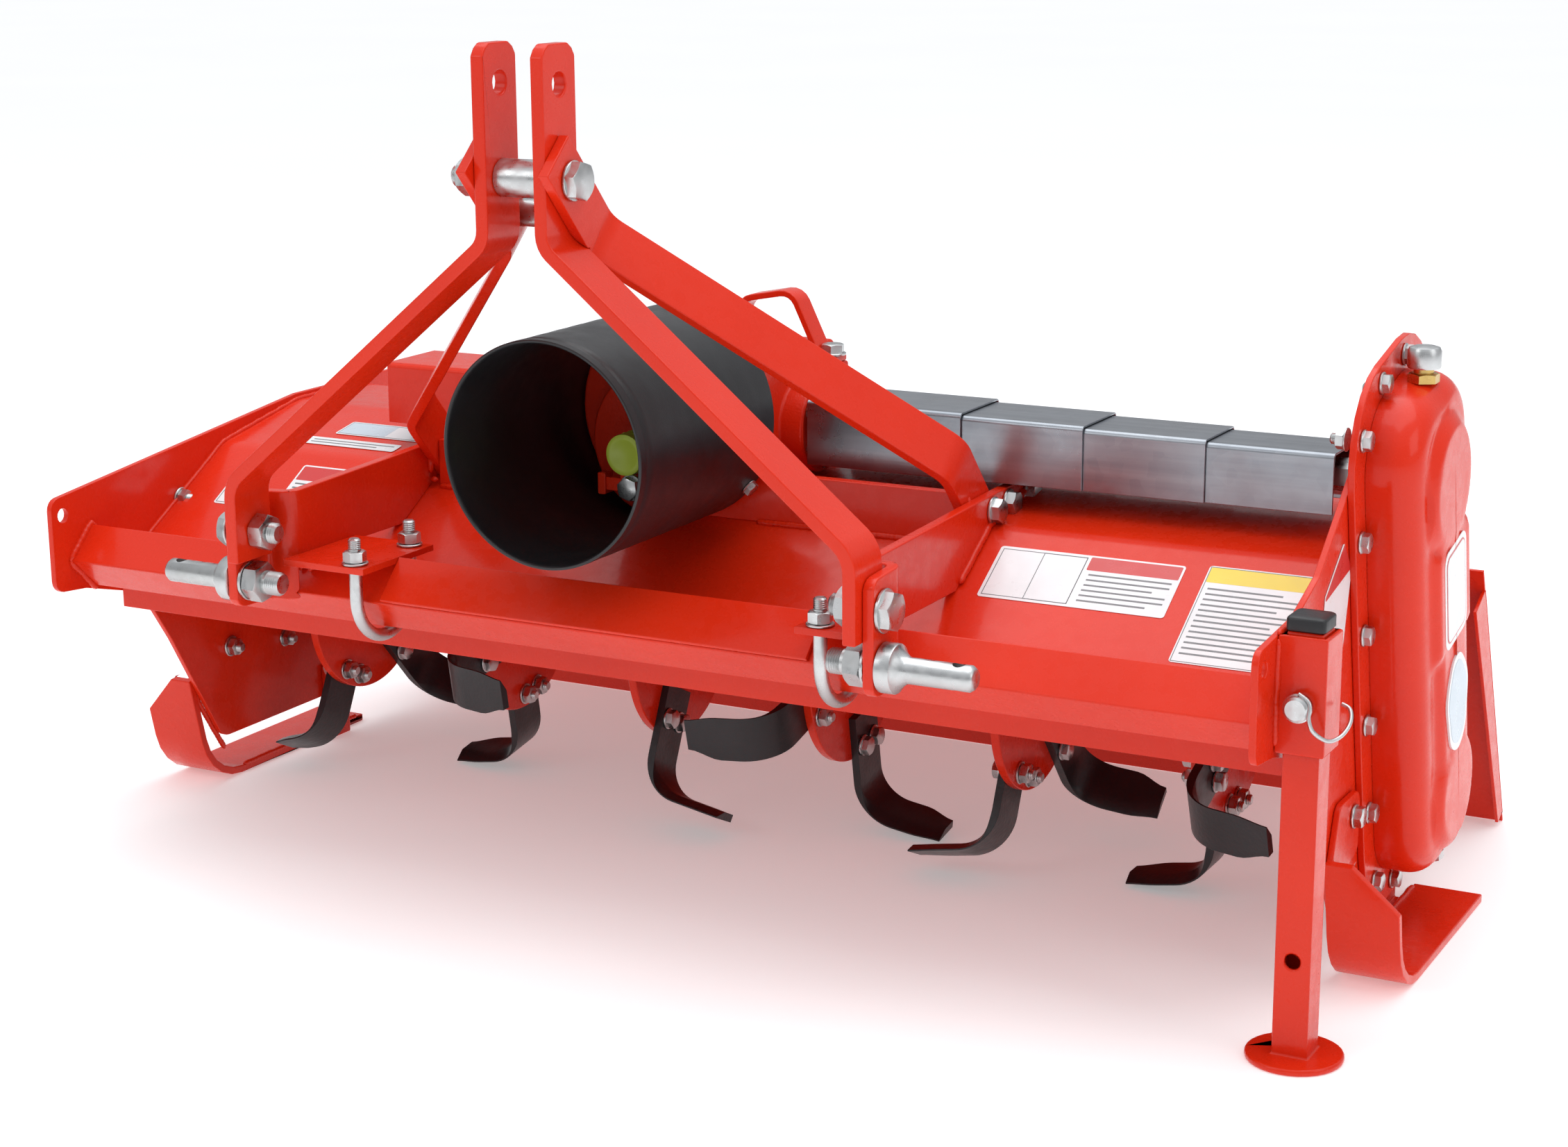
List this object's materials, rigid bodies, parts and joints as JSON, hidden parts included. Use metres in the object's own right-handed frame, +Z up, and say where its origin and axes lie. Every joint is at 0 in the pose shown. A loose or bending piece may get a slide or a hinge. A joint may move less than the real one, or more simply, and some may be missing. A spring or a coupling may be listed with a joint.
{
  "type": "rotary tiller",
  "caption": "Three-point hitch rotary tiller with a side chain drive, hinged tailboard, skids, a PTO shield and a sliding parking stand.",
  "frame": {"origin": "middle of the footprint, on the ground", "axes": "+Z up, -Y towards the tractor, +X towards the side-drive end"},
  "size_m": [1.339, 0.7806, 0.795],
  "materials": {
    "side_plate_left": "gloss orange-red paint",
    "side_plate_right": "gloss orange-red paint",
    "front_beam": "gloss orange-red paint",
    "hood": "gloss orange-red paint",
    "cross_plate": "gloss orange-red paint",
    "hitch_arm_left": "gloss orange-red paint",
    "hitch_arm_right": "gloss orange-red paint",
    "clamp_plate_left": "gloss orange-red paint",
    "clamp_plate_right": "gloss orange-red paint",
    "clamp_angle": "gloss orange-red paint",
    "u_bolt_left": "bright zinc plate",
    "u_bolt_right": "bright zinc plate",
    "mast_strap_left": "gloss orange-red paint",
    "mast_strap_right": "gloss orange-red paint",
    "mast_bolt": "bright zinc plate",
    "mast_spacer": "bright zinc plate",
    "brace_spacer": "bright zinc plate",
    "rear_brace_left": "gloss orange-red paint",
    "rear_brace_right": "gloss orange-red paint",
    "ear_bolt_left": "bright zinc plate",
    "ear_bolt_right": "bright zinc plate",
    "lower_pin_left": "bright zinc plate",
    "lower_pin_right": "bright zinc plate",
    "gearbox": "gloss orange-red paint",
    "input_shield": "black moulded plastic",
    "lifting_loop": "gloss orange-red paint",
    "shaft_cover_1": "galvanised sheet",
    "shaft_cover_2": "galvanised sheet",
    "shaft_cover_3": "galvanised sheet",
    "shaft_cover_4": "galvanised sheet",
    "cover_bracket": "gloss orange-red paint",
    "left_shaft_cover": "gloss orange-red paint",
    "drive_flange": "gloss orange-red paint",
    "drive_cover": "gloss orange-red paint",
    "stand_sleeve": "gloss orange-red paint",
    "stand_pin": "bright zinc plate",
    "skid_left": "gloss orange-red paint",
    "skid_right": "gloss orange-red paint",
    "tail_rod": "bright zinc plate",
    "rotor_bearing": "gloss orange-red paint",
    "rotor_tube": "gloss orange-red paint",
    "tine_set_1": "black paint",
    "tine_set_2": "black paint",
    "tine_set_3": "black paint",
    "tine_set_4": "black paint",
    "tine_set_5": "black paint",
    "tine_set_6": "black paint",
    "input_shaft": "bright zinc plate",
    "input_cap": "lime plastic",
    "cross_shaft": "bright zinc plate",
    "tailboard": "gloss orange-red paint",
    "stand_leg": "gloss orange-red paint",
    "stand_cap": "black plastic"
  },
  "bodies": {
    "frame": {"side_plate_left": "side_plate_left", "side_plate_right": "side_plate_right", "front_beam": "front_beam", "hood": "hood", "cross_plate": "cross_plate", "hitch_arm_left": "hitch_arm_left", "hitch_arm_right": "hitch_arm_right", "clamp_plate_left": "clamp_plate_left", "clamp_plate_right": "clamp_plate_right", "clamp_angle": "clamp_angle", "u_bolt_left": "u_bolt_left", "u_bolt_right": "u_bolt_right", "mast_strap_left": "mast_strap_left", "mast_strap_right": "mast_strap_right", "mast_bolt": "mast_bolt", "mast_spacer": "mast_spacer", "brace_spacer": "brace_spacer", "rear_brace_left": "rear_brace_left", "rear_brace_right": "rear_brace_right", "ear_bolt_left": "ear_bolt_left", "ear_bolt_right": "ear_bolt_right", "lower_pin_left": "lower_pin_left", "lower_pin_right": "lower_pin_right", "gearbox": "gearbox", "input_shield": "input_shield", "lifting_loop": "lifting_loop", "shaft_cover_1": "shaft_cover_1", "shaft_cover_2": "shaft_cover_2", "shaft_cover_3": "shaft_cover_3", "shaft_cover_4": "shaft_cover_4", "cover_bracket": "cover_bracket", "left_shaft_cover": "left_shaft_cover", "drive_flange": "drive_flange", "drive_cover": "drive_cover", "stand_sleeve": "stand_sleeve", "stand_pin": "stand_pin", "skid_left": "skid_left", "skid_right": "skid_right", "tail_rod": "tail_rod", "rotor_bearing": "rotor_bearing"},
    "rotor": {"rotor_tube": "rotor_tube", "tine_set_1": "tine_set_1", "tine_set_2": "tine_set_2", "tine_set_3": "tine_set_3", "tine_set_4": "tine_set_4", "tine_set_5": "tine_set_5", "tine_set_6": "tine_set_6"},
    "input": {"input_shaft": "input_shaft", "input_cap": "input_cap"},
    "cross": {"cross_shaft": "cross_shaft"},
    "rear_board": {"tailboard": "tailboard"},
    "stand": {"stand_leg": "stand_leg", "stand_cap": "stand_cap"}
  },
  "joints": [
    {"name": "rotor_spin", "type": "hinge", "parent": "frame", "child": "rotor", "pos_m": [-0.0305, 0.05488, 0.175], "axis": [1, 0, 0], "continuous": true},
    {"name": "cross_shaft_spin", "type": "hinge", "parent": "frame", "child": "cross", "pos_m": [0.2695, -0.00212, 0.424], "axis": [1, 0, 0], "continuous": true},
    {"name": "input_spin", "type": "hinge", "parent": "frame", "child": "input", "pos_m": [-0.0305, -0.16812, 0.424], "axis": [0, 1, 0], "continuous": true},
    {"name": "tailboard_hinge", "type": "hinge", "parent": "frame", "child": "rear_board", "pos_m": [-0.0305, 0.25188, 0.295], "axis": [1, 0, 0], "range_deg": [-24, 70]},
    {"name": "stand_slide", "type": "slide", "parent": "frame", "child": "stand", "axis": [0, 0, 1], "range_m": [0, 0.213]}
  ],
  "couplings": [
    {"joint": "cross_shaft_spin", "follows": "rotor_spin", "ratio": 1.35},
    {"joint": "input_spin", "follows": "rotor_spin", "ratio": 2.7}
  ]
}
